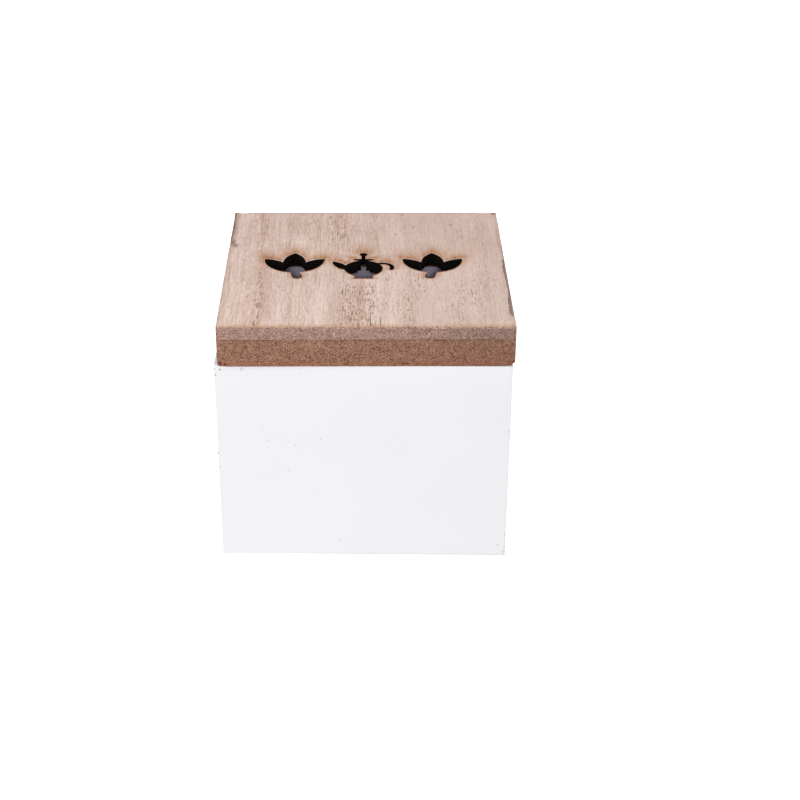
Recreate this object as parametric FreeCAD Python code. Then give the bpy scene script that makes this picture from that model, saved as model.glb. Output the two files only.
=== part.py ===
import FreeCAD, Part
import math
import os
from FreeCAD import Placement, Rotation, Vector

# Tea box with one compartment and a loose lid. Millimetres, +Z up, -Y is the front.
# The origin is the middle of the box's underside. The lid lies on the box a little
# off square and forward, held from sliding off by a lip that hangs inside the walls.

# ---- box ----
box_width = 90.6
box_depth = 90.6
box_height = 68.4
wall_thickness = 5.0
floor_thickness = 4.0
corner_round = 0.5        # upright corners of the painted box
base_round = 0.5          # arris round the underside

# ---- lid ----
lid_inset = 0.3           # the lid is this much inside the box's outline, each side
veneer_thickness = 0.6
board_thickness = 3.6
frame_height = 9.0
frame_round = 0.3         # eased lower arris of the lid's frame
lip_thickness = 2.0
lip_depth = 3.5           # how far the lip reaches below the box's rim
lip_clearance = 1.7       # between the lip and the walls, with the lid square and centred
lip_gap = 0.1             # left between the lip and the front wall, the lid pulled forward
lid_turn = 1.2            # degrees, anticlockwise from above

# ---- cut-outs in the lid: a sprig, a teapot and a second sprig, in a row ----
row_side_margin = 12.5    # from the lid's left and right edges to the row
row_shift_x = -0.8        # middle of the row from the middle of the lid
row_shift_y = 0.15
motif_gap = 1.9           # between one motif and the next
stem_width = 3.4
bud_width = 7.6
leaf_width = 6.0
handle_width = 1.7


def block(low, high):
    """An upright box between two opposite corners."""
    size = high - low
    return Part.makeBox(size.x, size.y, size.z, low)


def edges_where(shape, test):
    """The straight edges of a shape for which test(first end, second end) is true."""
    return [
        edge for edge in shape.Edges
        if len(edge.Vertexes) == 2 and test(edge.Vertexes[0].Point, edge.Vertexes[1].Point)
    ]


def is_near(value, target):
    return abs(value - target) < 1e-6


# ---- the painted box: five panels, the front and back ones running full width ----
half_width = box_width / 2
half_depth = box_depth / 2
inner_half_width = half_width - wall_thickness
inner_half_depth = half_depth - wall_thickness


def end_panel(side):
    """The front (side -1) or back (side 1) panel, its outer corners and base worn round."""
    outer_y, inner_y = side * half_depth, side * inner_half_depth
    shape = block(
        Vector(-half_width, min(outer_y, inner_y), 0),
        Vector(half_width, max(outer_y, inner_y), box_height),
    )

    def is_upright_corner(a, b):
        upright = is_near(a.x, b.x) and is_near(a.y, b.y)
        return upright and is_near(a.y, outer_y)

    def is_base_arris(edge):
        box = edge.BoundBox
        is_inner = is_near(box.YMin, inner_y) and is_near(box.YMax, inner_y)
        return is_near(box.ZMax, 0) and not is_inner

    shape = shape.makeFillet(corner_round, edges_where(shape, is_upright_corner))
    return shape.makeFillet(base_round, [edge for edge in shape.Edges if is_base_arris(edge)])


def side_panel(side):
    """The left (side -1) or right (side 1) panel, between the front and back ones."""
    outer_x, inner_x = side * half_width, side * inner_half_width
    shape = block(
        Vector(min(outer_x, inner_x), -inner_half_depth, 0),
        Vector(max(outer_x, inner_x), inner_half_depth, box_height),
    )

    def is_base_arris(a, b):
        outer = is_near(a.x, outer_x) and is_near(b.x, outer_x)
        return outer and is_near(a.z, 0) and is_near(b.z, 0)

    return shape.makeFillet(base_round, edges_where(shape, is_base_arris))


def floor_panel():
    """The floor, let in between the four walls and flush with their base."""
    return block(
        Vector(-inner_half_width, -inner_half_depth, 0),
        Vector(inner_half_width, inner_half_depth, floor_thickness),
    )


# ---- the motifs, drawn round the middle of their own cell, +Y towards the back ----
lid_width = box_width - 2 * lid_inset
lid_depth = box_depth - 2 * lid_inset
row_length = lid_width - 2 * row_side_margin
cell = (row_length - 2 * motif_gap) / 3      # each motif fills a square of this side
plate_thickness = board_thickness + veneer_thickness
cut_height = plate_thickness + 2             # a cutter stands 1 mm proud of both faces


def upright(face_wire):
    """A cutter from a closed outline."""
    return Part.Face(face_wire).extrude(Vector(0, 0, cut_height))


def disc(centre, radius):
    return Part.makeCylinder(radius, cut_height, centre)


def leaf(base, tip, width):
    """A pointed leaf: two equal arcs that meet at its base and its tip."""
    along = tip - base
    across = Vector(-along.y, along.x, 0).normalize() * (width / 2)
    middle = (base + tip) / 2
    arcs = [
        Part.Arc(base, middle + across, tip).toShape(),
        Part.Arc(tip, middle - across, base).toShape(),
    ]
    return upright(Part.Wire(arcs))


def slot(start, end, width):
    """A straight slot with round ends."""
    along = (end - start).normalize()
    across = Vector(-along.y, along.x, 0) * (width / 2)
    corners = [start + across, end + across, end - across, start - across]
    body = upright(Part.makePolygon(corners + corners[:1]))
    return body.fuse([disc(start, width / 2), disc(end, width / 2)]).removeSplitter()


def band(centre, radius, width, start_angle, end_angle):
    """Part of a ring with round ends, from one angle to another, in degrees."""
    def at(angle, r):
        a = math.radians(angle)
        return centre + Vector(math.cos(a), math.sin(a), 0) * r

    middle_angle = (start_angle + end_angle) / 2
    outer, inner = radius + width / 2, radius - width / 2
    outline = Part.Wire([
        Part.Arc(*(at(a, outer) for a in (start_angle, middle_angle, end_angle))).toShape(),
        Part.LineSegment(at(end_angle, outer), at(end_angle, inner)).toShape(),
        Part.Arc(*(at(a, inner) for a in (end_angle, middle_angle, start_angle))).toShape(),
        Part.LineSegment(at(start_angle, inner), at(start_angle, outer)).toShape(),
    ])
    ends = [disc(at(a, radius), width / 2) for a in (start_angle, end_angle)]
    return upright(outline).fuse(ends).removeSplitter()


def sprig(lean):
    """Two leaves and a bud on a stem. lean is 1 or -1, the side its stem bends to."""
    foot = Vector(lean * 0.06 * cell, -0.5 * cell + stem_width / 2, 0)
    heart = Vector(0, -0.16 * cell, 0)
    pieces = [
        slot(foot, heart, stem_width),
        leaf(Vector(0, -0.26 * cell, 0), Vector(0, 0.5 * cell, 0), bud_width),
    ]
    for side in (-1, 1):
        leaf_base = Vector(side * 0.02 * cell, -0.27 * cell, 0)
        leaf_tip = Vector(side * 0.48 * cell, 0.27 * cell, 0)
        pieces.append(leaf(leaf_base, leaf_tip, leaf_width))
    return [pieces[0].fuse(pieces[1:]).removeSplitter()]


def teapot():
    """A teapot on its foot. Its handle stops short of the body, so no wood is left loose."""
    def point(x, y):
        return Vector(x * cell, y * cell, 0)

    body_middle = point(0, -0.11)
    body = disc(body_middle, 0.31 * cell)
    foot = block(point(-0.15, -0.5), point(0.15, -0.37) + Vector(0, 0, cut_height))
    rim = slot(point(-0.13, 0.225), point(0.13, 0.225), 0.08 * cell)
    neck = slot(point(0, 0.18), point(0, 0.4), 0.08 * cell)
    knob = disc(point(0, 0.43), 0.07 * cell)
    spout = leaf(point(-0.22, -0.2), point(-0.5, 0.17), 0.17 * cell)
    handle = band(point(0.3, -0.07), 0.15 * cell, handle_width, -25, 112)
    return [body.fuse([foot, rim, neck, knob, spout, handle]).removeSplitter()]


def row_of_motifs():
    """Every cutter of the row, standing 1 mm proud of the plate's two faces."""
    pitch = cell + motif_gap
    bottom = box_height + frame_height - 1
    cutters = []
    for place, shapes in ((-1, sprig(1)), (0, teapot()), (1, sprig(-1))):
        move = Vector(row_shift_x + place * pitch, row_shift_y, bottom)
        for shape in shapes:
            cutter = shape.copy()
            cutter.translate(move)
            cutters.append(cutter)
    return cutters


# ---- the lid, built square over the box and then laid on it ----
half_lid_width = lid_width / 2
half_lid_depth = lid_depth / 2
lip_half_width = inner_half_width - lip_clearance
lip_half_depth = inner_half_depth - lip_clearance
frame_top = box_height + frame_height
# The lid is turned, then pulled forward until its lip almost meets the front wall.
turn = math.radians(lid_turn)
lip_reach = lip_half_width * math.sin(turn) + lip_half_depth * math.cos(turn)
lid_shift_y = lip_reach + lip_gap - inner_half_depth
lid_place = Placement(Vector(0, lid_shift_y, 0), Rotation(Vector(0, 0, 1), lid_turn))


def plate(low, thickness):
    """One layer of the lid's top, with the motifs cut through it."""
    shape = block(
        Vector(-half_lid_width, -half_lid_depth, low),
        Vector(half_lid_width, half_lid_depth, low + thickness),
    )
    return shape.cut(row_of_motifs())


def lid_frame():
    """The frame under the board, its lower arris eased. The lip is glued inside it."""
    shape = block(
        Vector(-half_lid_width, -half_lid_depth, box_height),
        Vector(half_lid_width, half_lid_depth, frame_top),
    )

    def is_lower_arris(a, b):
        return is_near(a.z, box_height) and is_near(b.z, box_height)

    shape = shape.makeFillet(frame_round, edges_where(shape, is_lower_arris))
    opening = block(
        Vector(-lip_half_width, -lip_half_depth, box_height - 1),
        Vector(lip_half_width, lip_half_depth, frame_top + 1),
    )
    return shape.cut(opening)


def lip_strips():
    """Four strips inside the frame: the front and back ones full width, the others between."""
    low, high = box_height - lip_depth, frame_top
    inner_y = lip_half_depth - lip_thickness
    inner_x = lip_half_width - lip_thickness
    return {
        "lip_front": block(
            Vector(-lip_half_width, -lip_half_depth, low), Vector(lip_half_width, -inner_y, high)),
        "lip_back": block(
            Vector(-lip_half_width, inner_y, low), Vector(lip_half_width, lip_half_depth, high)),
        "lip_left": block(
            Vector(-lip_half_width, -inner_y, low), Vector(-inner_x, inner_y, high)),
        "lip_right": block(
            Vector(inner_x, -inner_y, low), Vector(lip_half_width, inner_y, high)),
    }


def lid_pieces():
    """The lid's pieces in their place on the box, a little off square."""
    pieces = {
        "lid_frame": lid_frame(),
        "lid_board": plate(frame_top, board_thickness),
        "lid_veneer": plate(frame_top + board_thickness, veneer_thickness),
    }
    pieces.update(lip_strips())
    for shape in pieces.values():
        shape.Placement = lid_place.multiply(shape.Placement)
    return pieces


def box_pieces():
    return {
        "front_panel": end_panel(-1),
        "back_panel": end_panel(1),
        "left_panel": side_panel(-1),
        "right_panel": side_panel(1),
        "floor_panel": floor_panel(),
    }


os.makedirs("parts", exist_ok=True)
pieces = box_pieces()
pieces.update(lid_pieces())
for name, shape in pieces.items():
    solids = shape.Solids
    if len(solids) != 1 or not shape.isValid():
        raise ValueError(f"{name} is not one sound solid")
    solids[0].exportStep(f"parts/{name}.step")
    print(name, round(solids[0].Volume / 1000, 2), "cm3")
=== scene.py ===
"""The looks of a square painted tea box with a loose fibreboard lid, veneered on top."""

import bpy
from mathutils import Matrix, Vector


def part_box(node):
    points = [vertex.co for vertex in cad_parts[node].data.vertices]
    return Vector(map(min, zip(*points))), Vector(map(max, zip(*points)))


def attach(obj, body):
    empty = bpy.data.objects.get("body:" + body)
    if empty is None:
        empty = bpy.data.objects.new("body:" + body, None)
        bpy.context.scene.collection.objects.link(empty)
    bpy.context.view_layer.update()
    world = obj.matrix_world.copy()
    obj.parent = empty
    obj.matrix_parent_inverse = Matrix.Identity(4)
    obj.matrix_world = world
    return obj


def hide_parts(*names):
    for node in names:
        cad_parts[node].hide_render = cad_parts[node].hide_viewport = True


bl_info = {
    "name": "Tea box",
    "version": (1, 0, 0),
    "blender": (4, 5, 0),
    "location": "3D View > Sidebar > Tea box",
    "description": "Builds the painted box, its veneered lid and a plain white studio",
    "category": "Object",
}

import math

import bpy
import numpy as np
from bpy.props import FloatProperty, FloatVectorProperty, PointerProperty
from bpy.types import Operator, Panel, PropertyGroup
from mathutils import Matrix, Vector, noise
from mathutils.geometry import delaunay_2d_cdt

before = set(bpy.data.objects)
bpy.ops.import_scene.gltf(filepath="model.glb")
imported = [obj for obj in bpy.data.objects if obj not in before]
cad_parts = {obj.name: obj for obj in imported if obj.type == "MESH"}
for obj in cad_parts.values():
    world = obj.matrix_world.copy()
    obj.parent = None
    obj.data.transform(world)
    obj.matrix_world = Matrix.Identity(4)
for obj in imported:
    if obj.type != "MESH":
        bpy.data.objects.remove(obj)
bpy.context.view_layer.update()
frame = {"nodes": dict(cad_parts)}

MM = 0.001                      # meshes are worked out in millimetres and written in metres
WALLS = ("front_panel", "back_panel", "left_panel", "right_panel")
LIPS = ("lip_front", "lip_back", "lip_left", "lip_right")
SQUARE = ((-1, -1), (1, -1), (1, 1), (-1, 1))   # a square's corners, anticlockwise


# ---- what the frame says ----

def box_mm(node):
    """A node's lowest and highest corners, in millimetres."""
    low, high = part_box(node)
    return np.array(low) / MM, np.array(high) / MM


def heights(node):
    """How high a node starts and ends, in millimetres."""
    low, high = box_mm(node)
    return low[2], high[2]


def outlines(node):
    """The closed outlines of a node's top face, in millimetres, the longest first."""
    mesh = frame["nodes"][node].data
    points = np.array([v.co for v in mesh.vertices]) / MM
    top = points[:, 2].max()
    count = {}
    for polygon in mesh.polygons:
        corners = [tuple(np.round(points[i], 4)) for i in polygon.vertices]
        if min(corner[2] for corner in corners) < top - 1e-3:
            continue
        for start, end in zip(corners, corners[1:] + corners[:1]):
            count[start[:2], end[:2]] = count.get((start[:2], end[:2]), 0) + 1
    following = {start: end for start, end in count if (end, start) not in count}
    loops = []
    while following:
        start, point = following.popitem()
        loop = [start]
        while point != loop[0]:
            loop.append(point)
            point = following.pop(point)
        loops.append(np.array(loop))
    return sorted(loops, key=lambda loop: -np.ptp(loop[:, 0]))


def lid_placing():
    """The lid's middle, its turn on the box and its width and depth."""
    corners = outlines("lid_veneer")[0]
    pick = [corners[np.argmax(corners @ np.array(way))] for way in SQUARE]
    along = pick[1] - pick[0]
    middle = sum(pick) / 4
    width, depth = np.hypot(*along), np.hypot(*(pick[2] - pick[1]))
    return middle, math.atan2(along[1], along[0]), width, depth


LID_MIDDLE, LID_TURN, LID_WIDTH, LID_DEPTH = lid_placing()
LID_FRONT = -LID_DEPTH / 2      # in the lid's own square frame


def to_lid(points):
    """Points of the whole part in the lid's own square frame."""
    c, s = math.cos(LID_TURN), math.sin(LID_TURN)
    moved = np.asarray(points)[:, :2] - LID_MIDDLE
    return np.column_stack((moved[:, 0] * c + moved[:, 1] * s, moved[:, 1] * c - moved[:, 0] * s))


def linear(red, green, blue):
    """A colour given in 0 to 255 as seen on a screen, in the scene's linear values."""
    shown = (value / 255 for value in (red, green, blue))
    return tuple(v / 12.92 if v <= 0.04045 else ((v + 0.055) / 1.055) ** 2.4 for v in shown)


def scaled(colour, share):
    """A colour made darker, or lighter where the share is more than 1."""
    return tuple(c * share for c in colour)


# ---- settings ----

def length(name, description, default_mm):
    return FloatProperty(name=name, description=description, default=default_mm * MM, min=0, unit="LENGTH")


def colour(name, description, red, green, blue):
    return FloatVectorProperty(
        name=name, description=description, default=linear(red, green, blue), size=3, min=0, max=1,
        subtype="COLOR")


class BoxLook(PropertyGroup):
    """Finish of the painted box."""
    corner_wear: length("Corner wear", "Radius of the upright corners", 0.35)
    base_wear: length("Base wear", "Radius of the arris round the base", 0.45)
    rim_wear: length("Rim wear", "Radius of the arris round the rim", 0.25)
    joint_ease: length("Joint ease", "Radius of the arris at the joints between panels", 0.1)
    paint: colour("Paint", "Satin white paint", 237, 236, 239)
    # The mark colour also paints the shade along the base.
    mark: colour("Mark", "Where the paint is knocked through", 128, 116, 122)


class LidLook(PropertyGroup):
    """Finish of the lid."""
    veneer_pale: colour("Pale veneer", "The veneer's lighter grain", 250, 228, 216)
    veneer_deep: colour("Deep veneer", "The veneer's darker grain", 193, 160, 145)
    pore: colour("Pores", "Open pores of the veneer", 128, 84, 58)
    scorch: colour("Scorch", "Veneer browned beside the cuts and along the front", 190, 138, 100)
    char: colour("Char", "Cut walls burnt black", 10, 6, 6)
    board: colour("Board", "Edge of the thin top board", 160, 125, 111)
    frame: colour("Frame", "Edge of the thick frame board", 144, 102, 82)
    skin: colour("Board skin", "The denser skin along the frame's lower edge", 147, 101, 78)
    chip_depth: length("Chip depth", "How deep the veneer is chipped along its right edge", 1.5)


class StudioLook(PropertyGroup):
    """Light and camera."""
    sky: FloatProperty(
        name="Sky", description="Strength of the even light from all round", default=0.735, min=0)
    key: FloatProperty(
        name="Key light", description="Power of the soft light in front", default=2.15, min=0,
        subtype="POWER", unit="POWER")
    fill: FloatProperty(
        name="Fill light", description="Power of the light near on the left", default=0.6, min=0,
        subtype="POWER", unit="POWER")
    focal: FloatProperty(
        name="Focal length", description="The camera's focal length", default=75.753, min=1,
        subtype="DISTANCE_CAMERA", unit="CAMERA")


# ---- mesh tools, all in millimetres ----

CRISP_ANGLE = 38                # degrees, edges sharper than this stay crisp
EDGE_STEPS = (0, 0.12, 0.28, 0.46, 0.7, 1.0, 1.4)      # places near an arris, by its radius


def wobble(x, y, z=0.0, scale=1.0):
    """Smooth noise between about -1 and 1 at each point."""
    x, y, z = np.broadcast_arrays(np.asarray(x, float), y, z)
    flat = [noise.noise(Vector((a * scale, b * scale, c * scale))) for a, b, c in zip(x.flat, y.flat, z.flat)]
    return np.array(flat).reshape(x.shape)


class MeshParts:
    """Points and faces of one piece, gathered before its mesh is made."""

    def __init__(self):
        self.points, self.faces, self.marks = [], [], {}

    def add_ring(self, points, **marks):
        """Take in points with their marks, and give their numbers."""
        start = len(self.points)
        self.points.extend(tuple(p) for p in points)
        for name, value in marks.items():
            values = np.broadcast_to(value, len(points))
            self.marks.setdefault(name, {}).update(zip(range(start, start + len(points)), values))
        return np.arange(start, start + len(points))

    def add_band(self, first, second):
        """Quads between two closed rings of the same length."""
        for i in range(len(first)):
            j = (i + 1) % len(first)
            self.faces.append((first[i], first[j], second[j], second[i]))

    def make(self, name, material, slot, place=Matrix.Identity(4)):
        """The finished object, riding on the part, with its marks as point attributes."""
        mesh = bpy.data.meshes.new(name)
        mesh.from_pydata([Vector(p) * MM for p in self.points], [], [tuple(map(int, f)) for f in self.faces])
        mesh.validate()
        for mark, values in self.marks.items():
            layer = mesh.attributes.new(mark, "FLOAT", "POINT")
            full = np.zeros(len(mesh.vertices), np.float32)
            full[list(values)] = list(values.values())
            layer.data.foreach_set("value", full)
        mesh.materials.append(material)
        piece = bpy.data.objects.new(name, mesh)
        bpy.context.scene.collection.objects.link(piece)
        piece.matrix_world = place
        mesh.polygons.foreach_set("use_smooth", [True] * len(mesh.polygons))
        mesh.set_sharp_from_angle(angle=math.radians(CRISP_ANGLE))
        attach(piece, "root")
        return piece


def lid_place():
    """Where the lid's own frame lies in the part."""
    turn = Matrix.Rotation(LID_TURN, 4, "Z")
    return Matrix.Translation(Vector((*LID_MIDDLE, 0)) * MM) @ turn


def at_height(outline, height):
    """An outline's places as points at a height."""
    return np.column_stack((outline, np.full(len(outline), height)))


def within(points, loop):
    """Whether each point is inside a closed outline."""
    inside = np.zeros(len(points), bool)
    x, y = points[:, 0], points[:, 1]
    for (x0, y0), (x1, y1) in zip(loop, np.roll(loop, -1, axis=0)):
        if y0 == y1:
            continue
        spans = (y0 > y) != (y1 > y)
        inside ^= spans & (x < (x1 - x0) * (y - y0) / (y1 - y0) + x0)
    return inside


def nearest(points, loop):
    """Each point's distance from an outline, and the step to it from the nearest place there."""
    best = np.full(len(points), np.inf)
    step = np.zeros((len(points), 2))
    for start, end in zip(loop, np.roll(loop, -1, axis=0)):
        along = end - start
        share = np.clip(((points - start) @ along) / max(along @ along, 1e-12), 0, 1)
        away = points - (start + share[:, None] * along)
        distance = np.hypot(*away.T)
        closer = distance < best
        best[closer], step[closer] = distance[closer], away[closer]
    return best, step


def resampled(loop, spacing):
    """An outline with more points on its long runs. Its own points stay."""
    points = []
    for start, end in zip(loop, np.roll(loop, -1, axis=0)):
        parts = max(1, math.ceil(np.hypot(*(end - start)) / spacing))
        points.extend(start + (end - start) * i / parts for i in range(parts))
    return np.array(points)


def pushed(loop, distance):
    """An outline moved sideways, to its left where distance is more than 0."""
    before, after = loop - np.roll(loop, 1, axis=0), np.roll(loop, -1, axis=0) - loop
    sides = [
        np.column_stack((-d[:, 1], d[:, 0])) / np.hypot(*d.T)[:, None] for d in (before, after)
    ]
    mean = sides[0] + sides[1]
    mean /= np.maximum(np.hypot(*mean.T), 1e-6)[:, None]
    stretch = 1 / np.clip((mean * sides[0]).sum(1), 0.5, 1)
    return loop + mean * (stretch * distance)[:, None]


def filled(rings, inner_points):
    """Triangles between the first ring and the others, which are holes, through the inner points."""
    coordinates, edges = [], []
    for ring in rings:
        start, count = len(coordinates), len(ring)
        coordinates.extend(Vector(p) for p in ring)
        edges.extend((start + i, start + (i + 1) % count) for i in range(count))
    coordinates.extend(Vector(p) for p in inner_points)
    found, _, triangles, origin, _, _ = delaunay_2d_cdt(coordinates, edges, [], 0, 1e-7)
    if any(not source for source in origin):
        raise RuntimeError("an outline crosses itself or another one")
    middles = np.array([sum((found[i] for i in t), Vector((0, 0))) / 3 for t in triangles])
    keep = within(middles, rings[0])
    for ring in rings[1:]:
        keep &= ~within(middles, ring)
    return [[origin[i][0] for i in t] for t, kept in zip(triangles, keep) if kept]


def plate(parts, outer_rings, hole_rings, inner_points, inner_heights, **inner_marks):
    """A plate from rings of points that run from its top to its underside.

    Each ring is (points with height, marks). The first ones bound the top and the last ones the
    underside. Holes are listed the same way.
    """
    sides = []
    for rings in [outer_rings] + hole_rings:
        numbers = [parts.add_ring(points, **marks) for points, marks in rings]
        for upper, lower in zip(numbers, numbers[1:]):
            parts.add_band(lower, upper)
        sides.append((rings, numbers))
    inner = parts.add_ring(np.column_stack((inner_points, inner_heights)), **inner_marks)
    for end, inner_numbers, inside, flip in ((0, inner, inner_points, 1), (-1, [], [], -1)):
        flat = [rings[end][0][:, :2] for rings, _ in sides]
        numbers = np.concatenate([n[end] for _, n in sides] + [np.array(inner_numbers, int)])
        for triangle in filled(flat, inside):
            parts.faces.append(tuple(numbers[i] for i in triangle[::flip]))


def stations(low, high, step, ease):
    """Places along a side: close together near its ends, and a step apart between."""
    near = ease * np.array(EDGE_STEPS)
    middle = np.linspace(low + near[-1], high - near[-1], max(2, round((high - low) / step)))
    return np.concatenate((low + near[:-1], middle, high - near[:-1][::-1]))


def rounding(from_a, from_b, radius):
    """How far in to move points, from each of two sides, to round the corner between the sides.

    from_a and from_b say how far inside the sides the points are.
    """
    u, v = radius - from_a, radius - from_b
    near = (u > 0) & (v > 0)
    pull = np.where(near, np.maximum(u, v) / np.maximum(np.hypot(u, v), 1e-9), 1)
    return np.where(near, u * (1 - pull), 0), np.where(near, v * (1 - pull), 0)


def eased(points, low, high, radii, unevenness):
    """A box's points with its twelve arrises rounded.

    radii is {(the arris's axis, side, side): radius}, with "others" for the rest. unevenness is the
    share by which a radius wanders along its arris.
    """
    points = points.copy()
    for axis in (2, 0, 1):
        a, b = [k for k in range(3) if k != axis]
        for side_a in (-1, 1):
            for side_b in (-1, 1):
                radius = radii.get((axis, side_a, side_b), radii["others"])
                # The odd numbers give each arris a wear of its own.
                vary = wobble(points[:, axis], side_a * 7.3, side_b * 3.1 + axis, scale=0.16)
                vary += 0.6 * wobble(points[:, axis], side_a * 1.7, side_b * 5.9 + axis, scale=0.9)
                radius = radius * (1 + unevenness * vary)
                from_a = points[:, a] - low[a] if side_a < 0 else high[a] - points[:, a]
                from_b = points[:, b] - low[b] if side_b < 0 else high[b] - points[:, b]
                in_a, in_b = rounding(from_a, from_b, radius)
                points[:, a] -= side_a * in_a
                points[:, b] -= side_b * in_b
    return points


def panel_parts(low, high, radii, step, unevenness=0.2):
    """A board as a closed, dense, eased box."""
    ease = max(radii.values())
    places = [stations(low[k], high[k], step, min(ease, (high[k] - low[k]) / 4)) for k in range(3)]
    parts, number, grid = MeshParts(), {}, []
    size = [len(p) for p in places]

    def point(i, j, k):
        if (i, j, k) not in number:
            number[i, j, k] = len(grid)
            grid.append((places[0][i], places[1][j], places[2][k]))
        return number[i, j, k]

    for axis in range(3):
        a, b = (axis + 1) % 3, (axis + 2) % 3
        for end, way in ((0, -1), (size[axis] - 1, 1)):
            for i in range(size[a] - 1):
                for j in range(size[b] - 1):
                    corners = []
                    for di, dj in ((0, 0), (1, 0), (1, 1), (0, 1)):
                        index = [0, 0, 0]
                        index[axis], index[a], index[b] = end, i + di, j + dj
                        corners.append(point(*index))
                    parts.faces.append(tuple(corners[::way]))
    parts.add_ring(eased(np.array(grid), low, high, radii, unevenness))
    return parts


# ---- finishes ----

BARE_GLOSS = 0.12               # specular level of veneer and sawn board


class Finish:
    """A material being built. Each call adds a node and gives its output."""

    def __init__(self, name):
        self.material = bpy.data.materials.new(name)
        self.material.use_nodes = True
        self.tree = self.material.node_tree
        self.tree.nodes.clear()
        self.shader = self.tree.nodes.new("ShaderNodeBsdfPrincipled")
        output = self.tree.nodes.new("ShaderNodeOutputMaterial")
        self.tree.links.new(self.shader.outputs["BSDF"], output.inputs["Surface"])
        self.position = self.node("ShaderNodeTexCoord").outputs["Object"]

    def node(self, kind, inputs=(), **settings):
        made = self.tree.nodes.new(kind)
        for name, value in settings.items():
            setattr(made, name, value)
        for key, value in dict(inputs).items():
            self.feed(made.inputs[key], value)
        return made

    def feed(self, socket, value):
        """Link an output to a socket, or set the socket's own value."""
        if isinstance(value, bpy.types.NodeSocket):
            self.tree.links.new(value, socket)
        elif socket.type == "RGBA" and len(value) == 3:
            socket.default_value = (*value, 1)
        else:
            socket.default_value = value

    def set(self, **inputs):
        """Values or outputs for the shader's own sockets."""
        for name, value in inputs.items():
            self.feed(self.shader.inputs[name.replace("_", " ")], value)

    def maths(self, operation, *values, clamp=False):
        inputs = dict(enumerate(values))
        return self.node("ShaderNodeMath", inputs, operation=operation, use_clamp=clamp).outputs[0]

    def carried_on(self, operation, first, *others):
        """An operation carried on from one value to the next."""
        for other in others:
            first = self.maths(operation, first, other)
        return first

    def plus(self, *values):
        return self.carried_on("ADD", *values)

    def minus(self, *values):
        return self.carried_on("SUBTRACT", *values)

    def times(self, *values):
        return self.carried_on("MULTIPLY", *values)

    def most(self, *values):
        return self.carried_on("MAXIMUM", *values)

    def away(self, value, middle):
        """How far a value is from a middle, to either side."""
        return self.maths("ABSOLUTE", self.minus(value, middle))

    def stretched(self, scale, vector=None, offset=(0, 0, 0)):
        inputs = {"Vector": vector or self.position, "Scale": scale, "Location": offset}
        return self.node("ShaderNodeMapping", inputs).outputs[0]

    def noise(self, vector, scale=1.0, detail=2.0, roughness=0.5, distortion=0.0):
        inputs = {"Vector": vector, "Scale": scale, "Detail": detail, "Roughness": roughness,
                  "Distortion": distortion}
        return self.node("ShaderNodeTexNoise", inputs).outputs[0]

    def drawn(self, across, along, detail=2.0, roughness=0.5, vector=None, offset=(0, 0, 0)):
        """Noise drawn out from front to back, by its scale across and along."""
        return self.noise(
            self.stretched((across, along, 1), vector, offset), detail=detail, roughness=roughness)

    def cells(self, vector, scale):
        """Scattered cells: the distance from each one's middle, and three chance values of its own."""
        made = self.node("ShaderNodeTexVoronoi", {"Vector": vector, "Scale": scale})
        return made.outputs["Distance"], self.axes(made.outputs["Color"])

    def span(self, value, low, high, to_low=0.0, to_high=1.0):
        """A value stretched from one range to another, and held inside it."""
        inputs = {"Value": value, "From Min": low, "From Max": high, "To Min": to_low, "To Max": to_high}
        return self.node("ShaderNodeMapRange", inputs).outputs[0]

    def span_mm(self, value, low, high, to_low=0.0, to_high=1.0):
        """A length stretched from a range in millimetres to another, and held inside it."""
        return self.span(value, low * MM, high * MM, to_low, to_high)

    def blend(self, factor, first, second, mode="MIX"):
        made = self.node("ShaderNodeMix", data_type="RGBA", blend_type=mode)
        for index, value in ((0, factor), (6, first), (7, second)):
            self.feed(made.inputs[index], value)
        return made.outputs[2]

    def axes(self, vector=None):
        return tuple(self.node("ShaderNodeSeparateXYZ", {0: vector or self.position}).outputs)

    def joined(self, x, y, z):
        return self.node("ShaderNodeCombineXYZ", {0: x, 1: y, 2: z}).outputs[0]

    def mark(self, name):
        return self.node("ShaderNodeAttribute", attribute_name=name).outputs["Fac"]

    def spot(self, place, radius, softness, flatten=(1, 1, 1)):
        """1 at a place, falling to 0 at the radius. Millimetres."""
        offset = tuple(-p * MM * f for p, f in zip(place, flatten))
        near = self.stretched(flatten, offset=offset)
        distance = self.node("ShaderNodeVectorMath", {0: near}, operation="LENGTH").outputs["Value"]
        return self.span(distance, radius * MM, radius * MM * (1 - softness))

    def bump(self, height, distance_mm, normal=None):
        inputs = {"Height": height, "Distance": distance_mm * MM, "Strength": 1.0}
        if normal:
            inputs["Normal"] = normal
        return self.node("ShaderNodeBump", inputs).outputs[0]


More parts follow.
